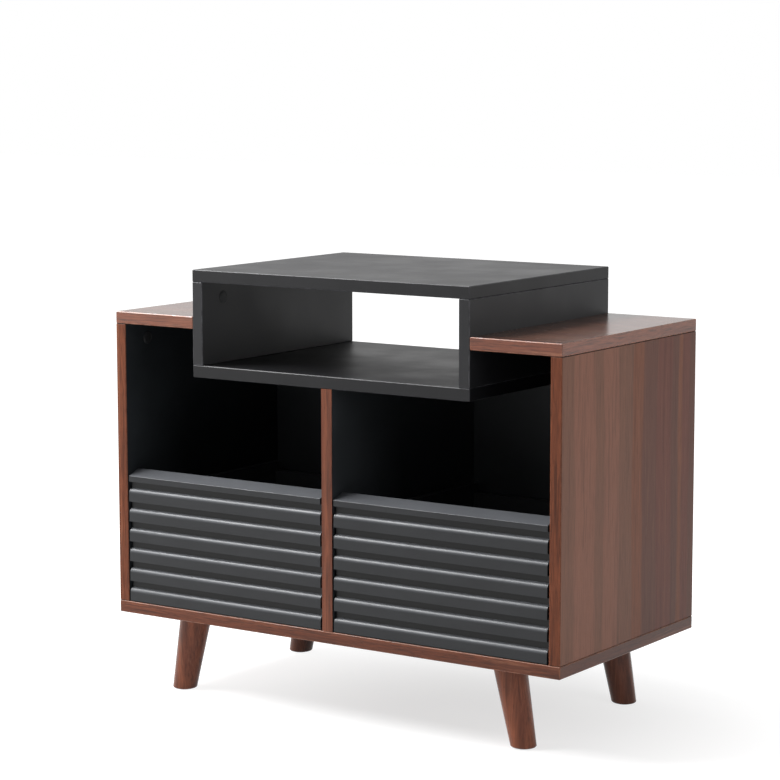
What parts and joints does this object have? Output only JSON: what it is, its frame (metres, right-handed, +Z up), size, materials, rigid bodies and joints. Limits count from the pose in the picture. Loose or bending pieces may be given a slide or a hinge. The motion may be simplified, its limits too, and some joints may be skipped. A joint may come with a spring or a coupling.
{
  "type": "record cabinet with two drawers and an open box",
  "caption": "Low walnut record cabinet on splayed turned legs: deep ribbed drawers in bays either side of a divider, and a raised box open front and back.",
  "frame": {"origin": "centre of the footprint, on the floor", "axes": "+Z up, -Y towards the user, +X to the viewer's right"},
  "size_m": [0.82, 0.407, 0.6835],
  "materials": {
    "walnut_board": "walnut veneer, satin lacquer",
    "walnut_black_board": "walnut veneer outside and on the edges, black melamine inside",
    "walnut_edge_band": "walnut veneer edge band, satin lacquer",
    "black_board": "black melamine faced board",
    "black_panel": "black faced hardboard",
    "charcoal_board": "charcoal melamine faced board, satin",
    "ribbed_charcoal_front": "milled wood fibre board, charcoal lacquer, satin",
    "walnut_solid": "turned solid walnut, satin lacquer",
    "drawer_board": "dark grey melamine faced board",
    "drawer_bottom": "dark grey faced hardboard",
    "beech": "fluted beech dowel, raw",
    "zinc_steel": "zinc plated steel",
    "zinc_casting": "zinc die casting",
    "runner_steel": "zinc plated rolled steel",
    "black_cap": "black plastic cap",
    "ball_cage": "white plastic cage with steel balls",
    "felt": "self-adhesive felt"
  },
  "bodies": {
    "cabinet": {"bottom_board": "walnut_board", "left_side_board": "walnut_black_board", "right_side_board": "walnut_black_board", "left_top_board": "walnut_board", "right_top_board": "walnut_board", "divider_board": "black_board", "divider_edge_band": "walnut_edge_band", "left_back_panel": "black_panel", "right_back_panel": "black_panel", "box_top_board": "charcoal_board", "box_bottom_board": "charcoal_board", "box_left_side": "charcoal_board", "box_right_side": "charcoal_board", "front_legs": "walnut_solid", "rear_legs": "walnut_solid", "foot_pads": "felt", "leg_bolts": "zinc_steel", "leg_threaded_inserts": "zinc_steel", "leg_locating_dowels": "beech", "cam_locks": "zinc_casting", "cam_bolts": "zinc_steel", "cam_cover_caps": "black_cap", "wood_dowels": "beech", "carcass_screws": "zinc_steel", "left_drawer_left_outer_runner": "runner_steel", "left_drawer_right_outer_runner": "runner_steel", "right_drawer_left_outer_runner": "runner_steel", "right_drawer_right_outer_runner": "runner_steel"},
    "left_drawer": {"left_drawer_front": "ribbed_charcoal_front", "left_drawer_left_side": "drawer_board", "left_drawer_right_side": "drawer_board", "left_drawer_back": "drawer_board", "left_drawer_bottom": "drawer_bottom", "left_drawer_cam_locks": "zinc_casting", "left_drawer_cam_bolts": "zinc_steel", "left_drawer_screws": "zinc_steel", "left_drawer_inner_runners": "runner_steel"},
    "left_drawer_middle_members": {"left_drawer_middle_runners": "runner_steel"},
    "left_drawer_outer_cages": {"left_drawer_outer_ball_cages": "ball_cage"},
    "left_drawer_inner_cages": {"left_drawer_inner_ball_cages": "ball_cage"},
    "right_drawer": {"right_drawer_front": "ribbed_charcoal_front", "right_drawer_left_side": "drawer_board", "right_drawer_right_side": "drawer_board", "right_drawer_back": "drawer_board", "right_drawer_bottom": "drawer_bottom", "right_drawer_cam_locks": "zinc_casting", "right_drawer_cam_bolts": "zinc_steel", "right_drawer_screws": "zinc_steel", "right_drawer_inner_runners": "runner_steel"},
    "right_drawer_middle_members": {"right_drawer_middle_runners": "runner_steel"},
    "right_drawer_outer_cages": {"right_drawer_outer_ball_cages": "ball_cage"},
    "right_drawer_inner_cages": {"right_drawer_inner_ball_cages": "ball_cage"}
  },
  "joints": [
    {"name": "left_drawer_slide", "type": "slide", "parent": "cabinet", "child": "left_drawer", "axis": [0, -1, 0], "range_m": [0, 0.35]},
    {"name": "left_drawer_middle_members_slide", "type": "slide", "parent": "cabinet", "child": "left_drawer_middle_members", "axis": [0, -1, 0], "range_m": [0, 0.175]},
    {"name": "left_drawer_outer_cages_slide", "type": "slide", "parent": "cabinet", "child": "left_drawer_outer_cages", "axis": [0, -1, 0], "range_m": [0, 0.0875]},
    {"name": "left_drawer_inner_cages_slide", "type": "slide", "parent": "cabinet", "child": "left_drawer_inner_cages", "axis": [0, -1, 0], "range_m": [0, 0.2625]},
    {"name": "right_drawer_slide", "type": "slide", "parent": "cabinet", "child": "right_drawer", "axis": [0, -1, 0], "range_m": [0, 0.35]},
    {"name": "right_drawer_middle_members_slide", "type": "slide", "parent": "cabinet", "child": "right_drawer_middle_members", "axis": [0, -1, 0], "range_m": [0, 0.175]},
    {"name": "right_drawer_outer_cages_slide", "type": "slide", "parent": "cabinet", "child": "right_drawer_outer_cages", "axis": [0, -1, 0], "range_m": [0, 0.0875]},
    {"name": "right_drawer_inner_cages_slide", "type": "slide", "parent": "cabinet", "child": "right_drawer_inner_cages", "axis": [0, -1, 0], "range_m": [0, 0.2625]}
  ],
  "couplings": [
    {"joint": "left_drawer_middle_members_slide", "follows": "left_drawer_slide", "ratio": 0.5},
    {"joint": "left_drawer_outer_cages_slide", "follows": "left_drawer_slide", "ratio": 0.25},
    {"joint": "left_drawer_inner_cages_slide", "follows": "left_drawer_slide", "ratio": 0.75},
    {"joint": "right_drawer_middle_members_slide", "follows": "right_drawer_slide", "ratio": 0.5},
    {"joint": "right_drawer_outer_cages_slide", "follows": "right_drawer_slide", "ratio": 0.25},
    {"joint": "right_drawer_inner_cages_slide", "follows": "right_drawer_slide", "ratio": 0.75}
  ]
}
